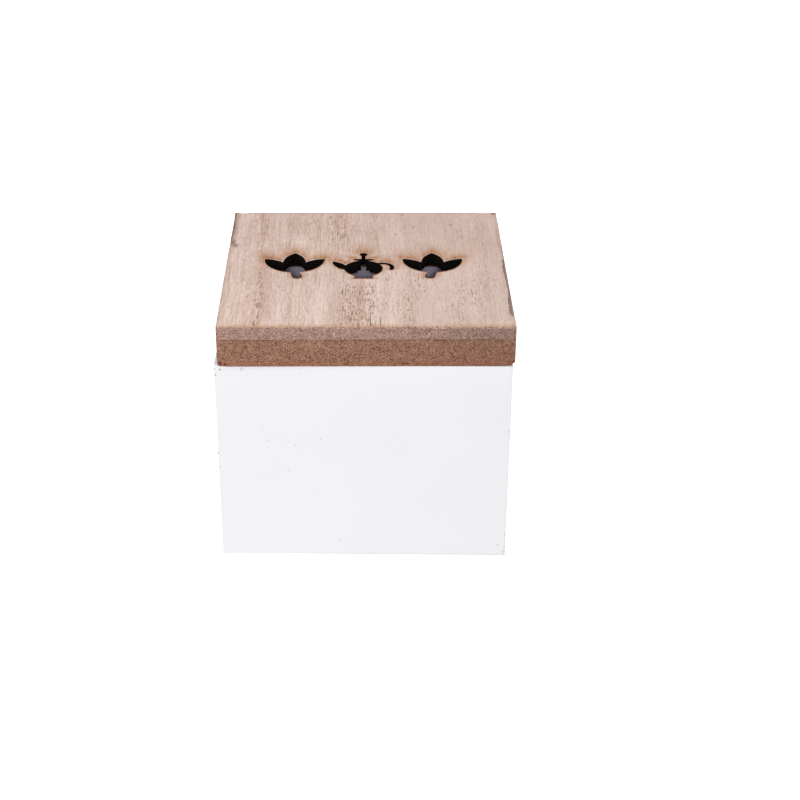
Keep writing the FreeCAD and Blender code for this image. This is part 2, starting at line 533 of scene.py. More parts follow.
# Small knocks in the front's paint: place across, height, radius and how dark. Millimetres.
PAINT_MARKS = (
    (-43.5, 66.7, 0.45, 0.75), (-44.9, 64.9, 0.50, 0.55), (-45.2, 66.8, 0.45, 0.50),
    (-45.3, 37.4, 0.50, 0.85), (-21.1, 40.5, 0.42, 0.34), (-23.5, 31.7, 0.45, 0.30),
    (-23.1, 31.0, 0.40, 0.20), (-13.3, 42.7, 0.42, 0.28), (-29.4, 42.1, 0.42, 0.28),
    (-30.8, 47.3, 0.60, 0.12), (-29.8, 39.6, 0.50, 0.10), (-36.8, 66.9, 0.85, 0.30),
    (-19.0, 67.3, 0.50, 0.22), (-7.8, 5.4, 0.75, 0.14), (-35.3, 65.1, 0.60, 0.12),
    (-28.4, 64.8, 0.55, 0.12), (-45.2, 61.9, 0.50, 0.25), (-45.2, 32.5, 0.60, 0.25),
    (-15.1, 22.6, 0.42, 0.12), (10.3, 55.3, 0.40, 0.10), (-10.4, 38.2, 0.45, 0.08),
    (45.1, 8.2, 0.60, 0.40), (45.1, 3.4, 0.55, 0.40), (42.9, 4.1, 0.55, 0.34),
    (45.2, 45.8, 0.50, 0.42), (45.0, 1.5, 0.80, 0.25), (45.2, 5.8, 0.50, 0.28),
    (31.8, 11.0, 0.60, 0.08),
)
INSIDE_PAINT = linear(241, 227, 247)            # a cooler white than outside


def paint_knocks(f, look, side, front, chips):
    """Masks of the knocks on the front, each with a ragged outline."""
    knocks = []
    for across, height, radius, strength in PAINT_MARKS:
        # On a worn corner the paint lies a little further back.
        back = 0.1 if abs(across) > side - look.corner_wear / MM else 0.0
        place = (across, front + back, height)
        ragged = f.times(f.spot(place, radius * 1.3, 0.9), f.span(chips, 0.3, 0.6, 0.35, 1.2))
        knocks.append(f.times(f.span(ragged, 0.25, 0.75), strength))
    return knocks


def painted_finish(look):
    """Satin white paint, a little uneven, knocked through in places, with painted shade high on the walls, on
    the upright corners and along the base.
    """
    f = Finish("white_paint")
    x, y, z = f.axes()
    across, back = f.maths("ABSOLUTE", x), f.maths("ABSOLUTE", y)
    inner, side = (corner[0] for corner in box_mm("right_panel"))
    front, rim = box_mm("front_panel")[0][1], heights("front_panel")[1]
    chips = f.noise(f.position, scale=2600, detail=2)
    # Scattered pinholes and specks all round, fainter in front.
    distance, chance = f.cells(f.position, 105)
    speck = f.maths("LESS_THAN", distance, f.span(chance[1], 0, 1, 0.010, 0.034))
    speck = f.times(speck, f.span(chance[0], 0.80, 0.86), f.span_mm(y, front + 0.1, front + 0.5, 0.22, 0.55))
    # Painted shade: a faint dark line along the base, where the box stands on the floor, fading out to the
    # left.
    painted_base_shade = f.times(f.span_mm(z, 0.55, 0.15), f.span_mm(x, -26, 22, 0.03, 0.30))
    painted_base_shade = f.times(painted_base_shade, f.span(chips, 0.3, 0.6, 0.6, 1.1))
    # The knocks and specks are real marks in the paint; the line along the base is painted shade.
    marks = f.most(*paint_knocks(f, look, side, front, chips), speck, painted_base_shade)
    # Painted shade: faintly darker higher up the walls, less so just under the rim, and on the upright
    # corners. The cloud is the paint's own uneven tone.
    cloud = f.noise(f.position, scale=38, detail=3)
    rise = f.times(f.span_mm(z, 6, rim - 18.4), f.span_mm(z, rim - 1.4, rim - 8.4, 0.3, 1.0))
    corner = f.span_mm(across, side - 1.1, side - 0.1, 0.0, 1.4)
    painted_shade_and_tone = f.plus(f.span(cloud, 0.35, 0.65, 0.0, 0.5), f.most(rise, corner))
    base = f.blend(f.times(painted_shade_and_tone, 0.5), look.paint, scaled(look.paint, 0.95))
    base = f.blend(f.span_mm(f.most(across, back), inner + 0.7, inner + 0.5), base, INSIDE_PAINT)
    f.set(Base_Color=f.blend(marks, base, look.mark))
    f.set(Roughness=f.span(f.noise(f.position, scale=160, detail=3), 0.3, 0.7, 0.36, 0.46))
    peel = f.bump(f.noise(f.position, scale=900, detail=2, roughness=0.4), 0.012)
    brush = f.bump(f.noise(f.stretched((60, 60, 1500)), detail=2), 0.006, peel)
    f.set(Normal=f.bump(f.times(marks, -1), 0.10, brush))
    return f.material


def fibres(f, offset=0.0):
    """Light curly fibres, dark pits and speckle of sawn fibreboard, as three masks from 0 to 1."""
    vector = f.stretched((1, 1, 1), offset=(offset, offset, offset))
    ridges = []
    for scale, thickness in ((430, 0.026), (760, 0.034)):
        field = f.noise(vector, scale=scale, detail=1.0, roughness=0.4, distortion=0.9)
        line = f.span(f.away(field, 0.5), thickness, thickness * 0.3)
        here = f.span(f.noise(vector, scale=scale * 0.6, detail=1), 0.50, 0.60)
        ridges.append(f.times(line, here))
    distance, chance = f.cells(vector, 1900)
    pit = f.times(f.span(distance, 0.50, 0.18), f.span(chance[0], 0.72, 0.82))
    fine = f.noise(vector, scale=2850, detail=1, roughness=0.6)
    broad = f.noise(vector, scale=640, detail=2.5, roughness=0.6)
    return f.most(*ridges), pit, f.plus(f.times(fine, 0.84), f.times(broad, 0.16))


def fibreboard_colour(f, base, texture, contrast):
    """Sawn fibreboard's colour, from its masks and how much they show."""
    curls, pit, speckle = texture
    dark = tuple(c * (1 - share * contrast) for c, share in zip(base, (0.60, 0.70, 0.79)))
    light = tuple(min(1, c * (1 + share * contrast)) for c, share in zip(base, (0.57, 0.84, 1.04)))
    ground = f.blend(f.span(speckle, 0.36, 0.64), dark, light)
    ground = f.blend(f.times(pit, 0.75 * contrast), ground, scaled(base, 0.18))
    pale = tuple(min(1, c * 2.0 + 0.035) for c in base)
    return f.blend(f.times(curls, 0.62 * contrast), ground, pale)


def set_sawn_surface(f, texture, relief, roughness):
    """The rough, matte surface of sawn fibreboard. relief is in millimetres."""
    curls, pit, speckle = texture
    height = f.minus(f.plus(speckle, f.times(curls, 0.4)), pit)
    f.set(Normal=f.bump(height, relief), Roughness=roughness, Specular_IOR_Level=BARE_GLOSS)


def dulled(colour, share, grey):
    """A colour made darker by a share, and part of the way to grey."""
    level = sum(colour) / 3
    return tuple((c + (level - c) * grey) * share for c in colour)


# Pale slivers in the board's front edge: place across, height, how strong, flatten.
SLIVERS = (
    (18.8, 1.9, 0.95, (2.4, 1, 0.8)), (18.3, 1.2, 0.35, (1.5, 1, 0.7)), (29.4, 0.7, 0.45, (0.6, 1, 2.2)),
)


def board_finish(look):
    """The thin top board: a greyish sanded edge, painted darker and greyer towards the right as shade, and
    cut walls burnt black.
    """
    f = Finish("top_fibreboard")
    x, _, z = f.axes()
    bottom, top = heights("lid_board")
    texture = fibres(f, 0.31)
    # Painted shade: the board's edge is darker and greyer towards the right.
    left = fibreboard_colour(f, look.board, texture, 0.73)
    calm = fibreboard_colour(f, dulled(look.board, 0.80, 0.02), texture, 0.72)
    edge = f.blend(f.span_mm(x, 6, 34), left, calm)
    # Torn and greyish where the veneer is chipped off its top.
    torn = f.blend(f.times(texture[2], 0.5), linear(178, 150, 147), linear(118, 94, 90))
    edge = f.blend(f.span_mm(z, top - 0.12, top - 0.04), edge, torn)
    for across, height, strength, flatten in SLIVERS:
        sliver = f.spot((across, LID_FRONT, bottom + height), 0.50, 0.7, flatten)
        edge = f.blend(f.times(sliver, strength), edge, linear(226, 206, 200))
    stripes = f.noise(f.stretched((2400, 2400, 60)), detail=2)
    soot = f.blend(f.span(stripes, 0.35, 0.75), look.char, scaled(look.char, 3.2))
    f.set(Base_Color=f.blend(f.mark("char"), edge, soot))
    set_sawn_surface(f, texture, 0.06, 0.82)
    return f.material


# Dark stains and tears in the frame's front face: place across, height, radius, how dark, flatten.
STAINS = (
    (11.6, 0.95, 1.3, 0.60, (0.55, 1, 1.6)), (-44.0, 1.2, 0.75, 0.85, (1, 1, 0.7)),
    (-42.6, 0.75, 0.70, 0.75, (1, 1, 0.7)), (34.8, 8.1, 0.45, 0.70, (1, 1, 1)),
    (44.6, 1.4, 0.60, 0.70, (1, 1, 1.2)), (-2.0, 5.4, 0.40, 0.60, (1, 1, 1)),
    (-17.0, 3.0, 0.55, 0.45, (1, 1, 1)), (-6.0, 0.7, 0.5, 0.5, (0.5, 1, 1)),
    (32.5, 0.4, 0.7, 0.45, (0.5, 1, 1)), (-27.0, 5.8, 0.45, 0.45, (1, 1, 1)),
)


def frame_colour(f, look, texture, x, z, low):
    """The frame board's colour: brown and fibrous, redder and denser along its lower edge, and painted darker
    towards the right as shade.
    """
    core = fibreboard_colour(f, look.frame, texture, 0.91)
    skin = fibreboard_colour(f, look.skin, texture, 0.72)
    # Painted shade: the core and the skin are darker towards the right.
    painted_shade_and_tone = f.span_mm(x, 4, 44, 0.0, 0.28)
    core = f.blend(painted_shade_and_tone, core, scaled(look.frame, 0.5))
    skin = f.blend(painted_shade_and_tone, skin, scaled(look.skin, 0.4))
    ragged = f.times(f.minus(f.noise(f.position, scale=420, detail=3), 0.5), 1.5 * MM)
    height = f.plus(f.minus(z, low * MM), ragged)
    surface = f.blend(f.span_mm(height, 2.15, 1.55, 0.0, 0.9), core, skin)
    # Long pale fibres left of the middle.
    long_fibres = f.noise(f.stretched((330, 330, 480), offset=(0.4, 0, 0.2)), detail=0.6, distortion=0.7)
    long_fibres = f.span(f.away(long_fibres, 0.5), 0.017, 0.004)
    where = f.spot((-13.5, LID_FRONT, low + 6.6), 8.5, 0.7, (1, 1, 2.6))
    return f.blend(f.times(long_fibres, where, 0.7), surface, linear(196, 152, 128))


def frame_finish(look):
    """The thick frame board, stained and torn in places."""
    f = Finish("frame_fibreboard")
    x, _, z = f.axes()
    low, high = heights("lid_frame")
    texture = fibres(f)
    surface = frame_colour(f, look, texture, x, z, low)
    # A dark broken line where the two boards meet, and dark bits along the lower arris.
    dashes = f.span(f.noise(f.stretched((420, 420, 60)), detail=2.5), 0.42, 0.60)
    seam = f.times(f.span_mm(z, high - 0.42, high - 0.08), dashes, 0.55)
    foot = f.times(f.span_mm(z, low + 0.5, low + 0.12), dashes, 0.45)
    torn = f.noise(f.position, scale=1500, detail=2)
    shades = [seam, foot]
    for across, lift, radius, strength, flatten in STAINS:
        stain = f.spot((across, LID_FRONT, low + lift), radius, 0.85, flatten)
        stain = f.times(stain, f.span(torn, 0.3, 0.6, 0.3, 1.3))
        shades.append(f.times(f.span(stain, 0.15, 0.7), strength))
    f.set(Base_Color=f.blend(f.most(*shades), surface, scaled(look.skin, 0.22)))
    set_sawn_surface(f, texture, 0.07, 0.80)
    return f.material


# Small knots and bruises in the veneer: place on the lid, radius, how dark. Millimetres.
KNOTS = (
    ((28.6, 34.2), 0.9, 0.75), ((10.0, 25.6), 0.7, 0.85), ((-7.2, 24.4), 1.7, 0.45),
    ((40.0, 31.8), 1.2, 0.30), ((-44.1, 19.0), 1.5, 0.85), ((-43.0, 16.6), 1.6, 0.75),
    ((-34.0, 26.5), 0.8, 0.50), ((-37.5, 37.5), 1.2, 0.35), ((31.5, 23.5), 1.6, 0.16),
    ((-18.0, -33.6), 1.0, 0.25), ((24.6, -34.0), 1.5, 0.15), ((3.4, 22.5), 1.8, 0.15),
    ((44.0, 44.0), 1.3, 0.80),
)
# Brown veins that follow the grain: place across, half width, from, to (front to back, past the
# lid's edge where it doesn't stop short), how strong.
VEINS = (
    (-34.4, 2.2, -46, 46, 0.32), (-33.6, 0.6, -46, -10, 0.50), (-15.0, 2.6, 4, 46, 0.26),
    (-10.2, 1.2, 10, 46, 0.34), (-7.2, 1.6, 14, 46, 0.40), (-1.5, 3.6, -46, -11, 0.35),
    (-23.6, 0.8, -46, -12, 0.35), (14.5, 0.9, -46, -14, 0.30), (-28.6, 0.7, 5, 40, 0.30),
    (34.6, 1.2, 0, 30, 0.22), (43.6, 1.0, 12, 34, 0.40), (-43.5, 1.1, -46, 46, 0.30),
    (-39.5, 0.8, -40, 10, 0.25), (3.5, 0.8, 2, 30, 0.25), (21.0, 0.8, -40, 0, 0.22),
)
VEIN_FADE = 5                   # half of the length over which a vein fades in or out
# Splits that run in from the front edge: place across the lid, length, half width. Millimetres.
SPLITS = (
    (1.9, 12.0, 0.24), (5.0, 8.0, 0.22), (3.4, 4.0, 0.15), (-2.2, 4.0, 0.15), (-9.0, 3.0, 0.14),
    (-34.3, 5.0, 0.18), (24.5, 2.6, 0.14), (13.2, 2.2, 0.14), (-21.6, 2.0, 0.12), (37.5, 1.8, 0.12),
)


class VeneerFinish(Finish):
    """Pale open-grained veneer, its grain from front to back, browned at the cuts."""

    def __init__(self, look):
        super().__init__("veneer")
        self.look = look
        self.x, self.y, z = self.axes()
        wander = self.times(self.minus(self.drawn(24, 8), 0.5), 5.0 * MM)
        waver = self.times(self.minus(self.drawn(230, 34, detail=1), 0.5), 1.1 * MM)
        self.across = self.plus(self.x, wander, waver)      # x, bent with the grain
        self.grain = self.joined(self.across, self.y, z)
        self.streak = self.drawn(760, 20, roughness=0.6, vector=self.grain)
        self.fine = self.drawn(2100, 80, roughness=0.6, vector=self.grain)
        self.surface = self.ground()

    def cover(self, share, colour, mode="MIX"):
        """Lay a colour over the surface."""
        self.surface = self.blend(share, self.surface, colour, mode)

    def ground(self):
        """The grain's own light and dark, calmer right of the middle."""
        layers = (
            (self.drawn(170, 5, vector=self.grain), 0.24), (self.streak, 0.14), (self.fine, 0.34),
            (self.drawn(3900, 330, detail=1, vector=self.grain), 0.34), (self.drawn(48, 40, detail=3), 0.22),
        )
        tone = self.plus(*(self.times(layer, weight) for layer, weight in layers))
        lively, calm = (
            self.blend(self.span(tone, low, high), self.look.veneer_deep, self.look.veneer_pale)
            for low, high in ((0.475, 0.795), (0.37, 0.92))
        )
        return self.blend(self.span_mm(self.across, -2, 16, 0.0, 0.85), lively, calm)

    def add_veins(self):
        """Brown veins along the grain, broken up by the fine streaks."""
        veins = []
        for across, half, start, end, strength in VEINS:
            vein = self.times(self.span_mm(self.away(self.across, across * MM), half, 0.0), strength)
            for stop, fade in ((start, VEIN_FADE), (end, -VEIN_FADE)):
                if abs(stop) < LID_DEPTH / 2:
                    vein = self.times(vein, self.span_mm(self.y, stop - fade, stop + fade))
            veins.append(vein)
        broken = self.span(self.plus(self.fine, self.streak), 0.80, 1.22, 1.25, 0.15)
        self.cover(self.maths("MULTIPLY", self.most(*veins), broken, clamp=True), self.look.scorch)

    def add_hairlines(self):
        """Fine brown lines along the grain, fainter at the back and on the right."""
        lines = self.drawn(2600, 75, detail=1.5, vector=self.grain, offset=(9.1, 4.2, 0))
        lines = self.times(self.span(lines, 0.59, 0.68), self.span_mm(self.across, -2, 18, 0.26, 0.07))
        self.cover(self.times(lines, self.span_mm(self.y, 4, -16, 0.45, 1.0)), self.look.pore)

    def stripe(self, middle, outer, inner, along):
        """A stripe along the grain, which comes and goes with a share along it."""
        return self.times(self.span_mm(self.away(self.across, middle * MM), outer, inner), along)

    def add_pores(self):
        """Short dark dashes, crowded in three stripes along the grain and in patches."""
        dashes = self.drawn(2300, 210, detail=1.5, vector=self.grain, offset=(5.3, 1.7, 0))
        ticks = self.drawn(1900, 420, detail=1.5, vector=self.grain, offset=(2.1, 0.4, 0))
        crowd = self.most(
            self.stripe(-2.4, 9.0, 5.0, self.span_mm(self.y, -4, -18)),
            self.stripe(-33.7, 2.2, 0.8, self.span_mm(self.y, 0, -14, 0.6, 1.0)),
            self.span(self.drawn(95, 16, vector=self.grain), 0.46, 0.70, 0.15, 0.75),
            self.stripe(-9.5, 6.0, 3.0, self.span_mm(self.y, 8, 22, 0.0, 0.8)),
        )
        limit = self.span(crowd, 0, 1, 0.70, 0.575)
        pore = self.span(self.minus(self.most(dashes, ticks), limit), 0.0, 0.06)
        self.cover(self.times(pore, self.span(crowd, 0, 1, 0.35, 0.72)), self.look.pore)
        return pore

    def add_tints_and_painted_light(self):
        """Warmer towards the back, and painted light: lighter towards the front left."""
        self.cover(self.span_mm(self.y, -12, 20, 0.0, 0.05), scaled(self.look.scorch, 0.75))
        # Painted light: a pale glow added towards the front left.
        painted_light_front_left = self.times(self.span_mm(self.y, 26, -36), self.span_mm(self.x, 30, -22, 0.12, 0.80))
        self.cover(painted_light_front_left, (0.11, 0.085, 0.075), "ADD")

    def add_dark_edges(self):
        """Darker along the back edge, most at its left end, and along the left edge, most towards the back.
        """
        patchy = self.span(self.drawn(500, 160, detail=3), 0.30, 0.62, 0.35, 1.0)
        back = self.span_mm(self.y, -LID_FRONT - 1.1, -LID_FRONT - 0.25, 0.0, 0.30)
        corner = self.times(back, self.span_mm(self.x, -36, -43, 1.0, 2.0), patchy)
        uneven = self.times(self.drawn(90, 110, detail=3), 1.7 * MM)
        side = self.minus(self.plus(self.x, LID_WIDTH / 2 * MM), uneven)
        reach = self.plus(self.span_mm(side, 0.1, -0.8, 0.0, 0.55), self.span_mm(side, 1.6, -0.8, 0.0, 0.60))
        reach = self.times(reach, self.span_mm(self.y, 8, 26, 0.12, 1.0))
        self.cover(self.most(corner, reach), scaled(self.look.scorch, 0.25))

    def add_splits(self):
        """Splits that narrow as they run in from the front edge."""
        splits = []
        for across, run, half in SPLITS:
            width = self.span_mm(self.y, LID_FRONT, LID_FRONT + run, half * MM, 0.02 * MM)
            near = self.span_mm(self.y, LID_FRONT + run, LID_FRONT + run * 0.8)
            inside = self.maths("LESS_THAN", self.away(self.across, across * MM), width)
            splits.append(self.times(inside, near))
        split = self.most(*splits)
        self.cover(self.times(split, 0.8), scaled(self.look.pore, 0.3))
        return split

    def add_knots(self):
        """Small dark knots and bruises with ragged outlines."""
        ragged = self.span(self.noise(self.position, scale=900, detail=3), 0.3, 0.65, 0.4, 1.25)
        knots = []
        for place, radius, strength in KNOTS:
            knot = self.times(self.spot((*place, 0), radius, 0.95, (1, 0.6, 0)), ragged)
            knots.append(self.times(self.span(knot, 0.15, 0.9), strength))
        self.cover(self.most(*knots), scaled(self.look.pore, 0.8))

    def add_scorching(self):
        """Browned beside the cuts, in streaks, and along the front edge."""
        streaks = self.span(self.drawn(1100, 110, detail=3), 0.25, 0.7, 0.35, 1.2)
        halo = self.maths("MULTIPLY", self.mark("scorch"), streaks, clamp=True)
        self.cover(self.span(halo, 0.04, 0.55, 0.0, 0.95), self.look.scorch)
        self.cover(self.span(halo, 0.60, 0.98, 0.0, 0.9), scaled(self.look.scorch, 0.30))
        from_front = self.minus(self.y, LID_FRONT * MM)
        narrow, wide = self.drawn(300, 60, detail=3.5, roughness=0.65), self.drawn(75, 30, offset=(1, 2, 0))
        margin = self.minus(from_front, self.times(self.plus(narrow, wide), 2.3 * MM))
        self.cover(self.span_mm(margin, -0.2, -2.4, 0.0, 0.85), linear(214, 172, 134))
        nicked = self.span(self.drawn(1500, 200, offset=(3, 3, 0)), 0.54, 0.66)
        self.cover(self.times(nicked, self.span_mm(from_front, 1.5, 0.2, 0.0, 0.75)), self.look.pore)

    def add_edges(self):
        """The sheet's own edge, and the burnt walls of the cuts."""
        edge = fibreboard_colour(self, dulled(self.look.board, 1.08, -0.15), fibres(self, 0.31), 0.9)
        self.cover(self.times(self.mark("edge"), 0.95), edge)
        self.cover(self.mark("char"), self.look.char)


def veneer_finish(look):
    """The veneer with everything that lies on it, from the grain up."""
    f = VeneerFinish(look)
    f.add_veins()
    f.add_hairlines()
    pore = f.add_pores()
    f.add_tints_and_painted_light()
    f.add_dark_edges()
    split = f.add_splits()
    f.add_knots()
    f.add_scorching()
    f.add_edges()
    f.set(Base_Color=f.surface, Roughness=f.span(f.fine, 0.3, 0.7, 0.52, 0.66))
    sunk = f.plus(f.times(pore, 0.5), split)
    f.set(Normal=f.bump(f.minus(f.times(f.fine, 0.5), sunk), 0.045), Specular_IOR_Level=BARE_GLOSS)
    return f.material


# ---- pieces ----

WALL_STEP, FLOOR_STEP, LIP_STEP = 1.2, 4.0, 3.0     # spacing of the panels' mesh
LIP_EASE = 0.18                 # radius of the lip strips' arrises
FINE_SPACING, BOARD_SPACING = 0.5, 0.7      # between points along the lid's outlines
CUT_SPACING = 0.35              # and along the cuts
FINE_REACH = 5                  # how far round the cuts the veneer's mesh is finer
VENEER_CORNER, BOARD_CORNER = 0.35, 0.3     # radii of the lid's upright corners
FRAME_CORNER, OPENING_CORNER = 0.35, 0.02   # and of the frame's, outside and in its opening


def make_walls(look):
    """The painted walls, their outer corners worn, and the floor between them."""
    material = painted_finish(look)
    joints = {"others": look.joint_ease / MM}
    corner, base, rim = look.corner_wear / MM, look.base_wear / MM, look.rim_wear / MM
    for name in WALLS:
        low, high = box_mm(name)
        middle = (low + high) / 2
        radii = dict(joints)
        if name in ("front_panel", "back_panel"):
            side = -1 if middle[1] < 0 else 1
            for end in (-1, 1):
                radii[2, end, side] = corner
                radii[1, end, -1] = base
                radii[1, end, 1] = rim
            radii[0, side, -1], radii[0, side, 1] = base, rim
        else:
            side = -1 if middle[0] < 0 else 1
            radii[1, side, -1], radii[1, side, 1] = base, rim
        piece = panel_parts(low, high, radii, WALL_STEP).make(name + "_painted", material, "white_paint")
        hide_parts(name)
    low, high = box_mm("floor_panel")
    piece = panel_parts(low, high, joints, FLOOR_STEP).make("floor_painted", material, "white_paint")
    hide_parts("floor_panel")


def side_points(spacing):
    """Places round the lid's outline, anticlockwise, and half its width and depth."""
    half = np.array([LID_WIDTH, LID_DEPTH]) / 2
    places = []
    for start, end in zip(SQUARE, SQUARE[1:] + SQUARE[:1]):
        a, b = np.array(start) * half, np.array(end) * half
        run = np.hypot(*(b - a))
        for s in stations(0, run, spacing, 0.8)[:-1]:
            places.append(a + (b - a) * s / run)
    return np.array(places), half


def inset_square(places, half, inset, corner):
    """Outline places moved inward by an inset, which may vary, and rounded at the corners."""
    moved = places.copy()
    inset = np.broadcast_to(inset, len(places))
    for k in range(2):
        limit = half[k] - inset
        moved[:, k] = np.clip(moved[:, k], -limit, limit)
    reach = half - inset[:, None] - np.abs(moved)
    return moved - np.sign(moved) * np.column_stack(rounding(*reach.T, corner))


# Stretches where the veneer's edge is chipped: side (x or y and its sign), from, to, share of depth.
CHIPS = (
    ("x", 1, -38.5, 5.0, 0.62), ("x", 1, -37.5, -23.0, 0.38), ("x", 1, -9.0, 2.0, 0.20),
    ("x", 1, 3.0, 18.0, 0.32), ("x", 1, 22.0, 27.0, 0.25), ("x", 1, 37.0, 44.0, 0.20),
    ("x", -1, 24.0, 42.0, 0.08), ("x", -1, 14.0, 21.0, 0.12),
    ("y", -1, 12.0, 15.5, 0.25), ("y", -1, -30.0, -27.5, 0.2), ("y", -1, 33.0, 35.0, 0.25),
    ("y", 1, 38.0, 43.0, 0.3), ("y", 1, -44.0, -40.0, 0.4),
)


def veneer_wear(places, half, depth):
    """How far the veneer's outline is worn in at each place."""
    x, y = places[:, 0], places[:, 1]
    wear = 0.03 * np.abs(wobble(x, y, 0.3, scale=0.9)) + 0.05 * np.abs(wobble(x, y, 4.1, scale=3.1))
    for axis, sign, start, end, share in CHIPS:
        # A chip deepens over 1.2 mm from either end.
        along, across, reach = (y, x, half[0]) if axis == "x" else (x, y, half[1])
        on_side = np.abs(across * sign - reach) < 1e-6
        rise = np.clip(np.minimum(along - start, end - along) / 1.2, 0, 1)
        ragged = 0.80 + 0.30 * wobble(x, y, 9.7, scale=0.8) + 0.22 * wobble(x, y, 2.2, scale=2.6)
        wear += np.where(on_side, rise * ragged * share * depth, 0)
    for across, run, width in SPLITS:
        on_front = np.abs(y + half[1]) < 1e-6
        notch = np.clip(1 - np.abs(x - across) / (width + 0.28), 0, 1)
        wear += np.where(on_front, notch * min(0.55, run * 0.08), 0)
    return wear


def cut_outlines():
    """The lid's cut-outs in its own frame, with the slight raggedness a hot cut leaves."""
    loops = []
    for loop in outlines("lid_veneer")[1:]:
        points = resampled(to_lid(loop), CUT_SPACING)
        rough = 0.028 * wobble(*points.T, 1.3, scale=2.2)
        rough += 0.016 * wobble(*points.T, 6.6, scale=5.5)
        loops.append(pushed(points, rough))
    return loops


def cut_rings(loops, profile):
    """For each cut-out, its rings from the plate's top to its underside.

    profile is a list of (how far the wall lies outside the cut, height, marks).
    """
    return [
        [(at_height(pushed(loop, away), height), marks) for away, height, marks in profile]
        for loop in loops
    ]


def scatter(half, loops, spacing, fine_spacing, margin):
    """Points over the lid's top: closer together round the cut-outs, none near an outline."""
    rng = np.random.default_rng(7)
    near = np.concatenate(loops)
    low, high = near.min(0) - FINE_REACH, near.max(0) + FINE_REACH

    def grid(lower, upper, step):
        xs = np.arange(lower[0] + step, upper[0], step)
        ys = np.arange(lower[1] + step, upper[1], step)
        points = np.stack(np.meshgrid(xs, ys), -1).reshape(-1, 2)
        return points + rng.uniform(-0.22, 0.22, points.shape) * step

    wide = grid(-half + margin, half - margin, spacing)
    wide = wide[~((wide > low) & (wide < high)).all(1)]
    points = np.concatenate((wide, grid(low, high, fine_spacing)))
    clear = np.ones(len(points), bool)
    for loop in loops:
        clear &= (nearest(points, loop)[0] > 0.4) & ~within(points, loop)
    return points[clear]


def scorching(points, loops):
    """How browned the veneer is at each point: most just behind each cut-out."""
    browned = np.zeros(len(points))
    for loop in loops:
        distance, step = nearest(points, loop)
        behind = 0.5 + 0.5 * step[:, 1] / np.maximum(distance, 1e-6)
        reach = 0.45 + 3.0 * behind ** 1.5
        browned = np.maximum(browned, np.exp(-distance / reach) * (0.16 + 0.84 * behind))
    return browned


def make_veneer(look):
    """The thin sheet on top of the lid."""
    bottom, top = heights("lid_veneer")
    places, half = side_points(FINE_SPACING)
    wear = veneer_wear(places, half, look.chip_depth / MM)
    loops = cut_outlines()
    # The worn arris: how far in, how far down, how much of the sheet's edge shows.
    arris = ((0.22, 0.0, 0.15), (0.09, 0.02, 0.4), (0.02, 0.07, 0.9), (0.0, 0.16, 1.0))
    outer = []
    for inset, drop, edge in arris + ((0.0, top - bottom, 1.0),):
        ring = inset_square(places, half, wear + inset, VENEER_CORNER)
        outer.append((at_height(ring, top - drop), {"edge": edge}))
    # The sheet's top reaches a little over the cuts, and its underside is burnt back to their size.
    walls = cut_rings(loops, (
        (-0.16, top, {"char": 0.0}), (-0.07, top - 0.03, {"char": 0.5}),
        (-0.015, top - 0.10, {"char": 0.95}), (0.0, top - 0.2, {"char": 1.0}),
        (0.0, bottom, {"char": 1.0}),
    ))
    walls = [
        [(points, dict(marks, scorch=scorching(points[:, :2], loops))) for points, marks in rings]
        for rings in walls
    ]
    inner = scatter(half, loops, spacing=1.6, fine_spacing=0.65, margin=1.4)
    # The sheet isn't quite flat.
    levels = top - 0.02 - 0.02 * wobble(*inner.T, 0.5, scale=0.12)
    parts = MeshParts()
    plate(parts, outer, walls, inner, np.minimum(levels, top), scorch=scorching(inner, loops))
    piece = parts.make("veneer_sheet", veneer_finish(look), "veneer", lid_place())
    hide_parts("lid_veneer")


def make_board(look):
    """The thin board under the veneer."""
    bottom, top = heights("lid_board")
    places, half = side_points(BOARD_SPACING)
    rough = 0.03 * np.abs(wobble(*places.T, 8.2, scale=1.1))
    outer = []
    for inset, height in ((0.03, top), (0.0, top - 0.06), (0.0, (bottom + top) / 2),
                          (0.0, bottom + 0.10), (0.02, bottom + 0.04), (0.06, bottom)):
        ring = inset_square(places, half, rough + inset, BOARD_CORNER)
        outer.append((at_height(ring, height), {"char": 0.0}))
    walls = cut_rings(cut_outlines(), [
        (0.02 * share, top - share * (top - bottom), {"char": 1.0}) for share in (0, 0.35, 0.7, 1.0)
    ])
    parts = MeshParts()
    plate(parts, outer, walls, np.zeros((0, 2)), np.zeros(0))
    piece = parts.make("top_board", board_finish(look), "top_fibreboard", lid_place())
    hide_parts("lid_board")


# Dents in the frame's outer faces: place on the lid, height over the frame's underside, radius, depth.
DENTS = (
    ((11.6, -45.0), 0.8, 1.3, 0.22), ((-6.0, -45.0), 0.5, 0.7, 0.15), ((32.5, -45.0), 0.3, 0.9, 0.15),
    ((-31.0, -45.0), 0.3, 0.8, 0.12), ((45.0, 12.0), 0.5, 1.2, 0.25), ((-45.0, -18.0), 0.6, 1.1, 0.25),
    ((20.0, 45.0), 0.5, 1.2, 0.25),
)
NEAR_SIDE = 40                  # a dent further out than this is in that side
# Worn lower corners of the frame: which corner, how far in at the underside, how high, how sharp.
CORNERS = ((1, -1, 1.15, 1.30, 0.6), (-1, -1, 0.9, 0.9, 2.2), (1, 1, 0.6, 0.8, 2.0), (-1, 1, 0.8, 0.9, 2.0))


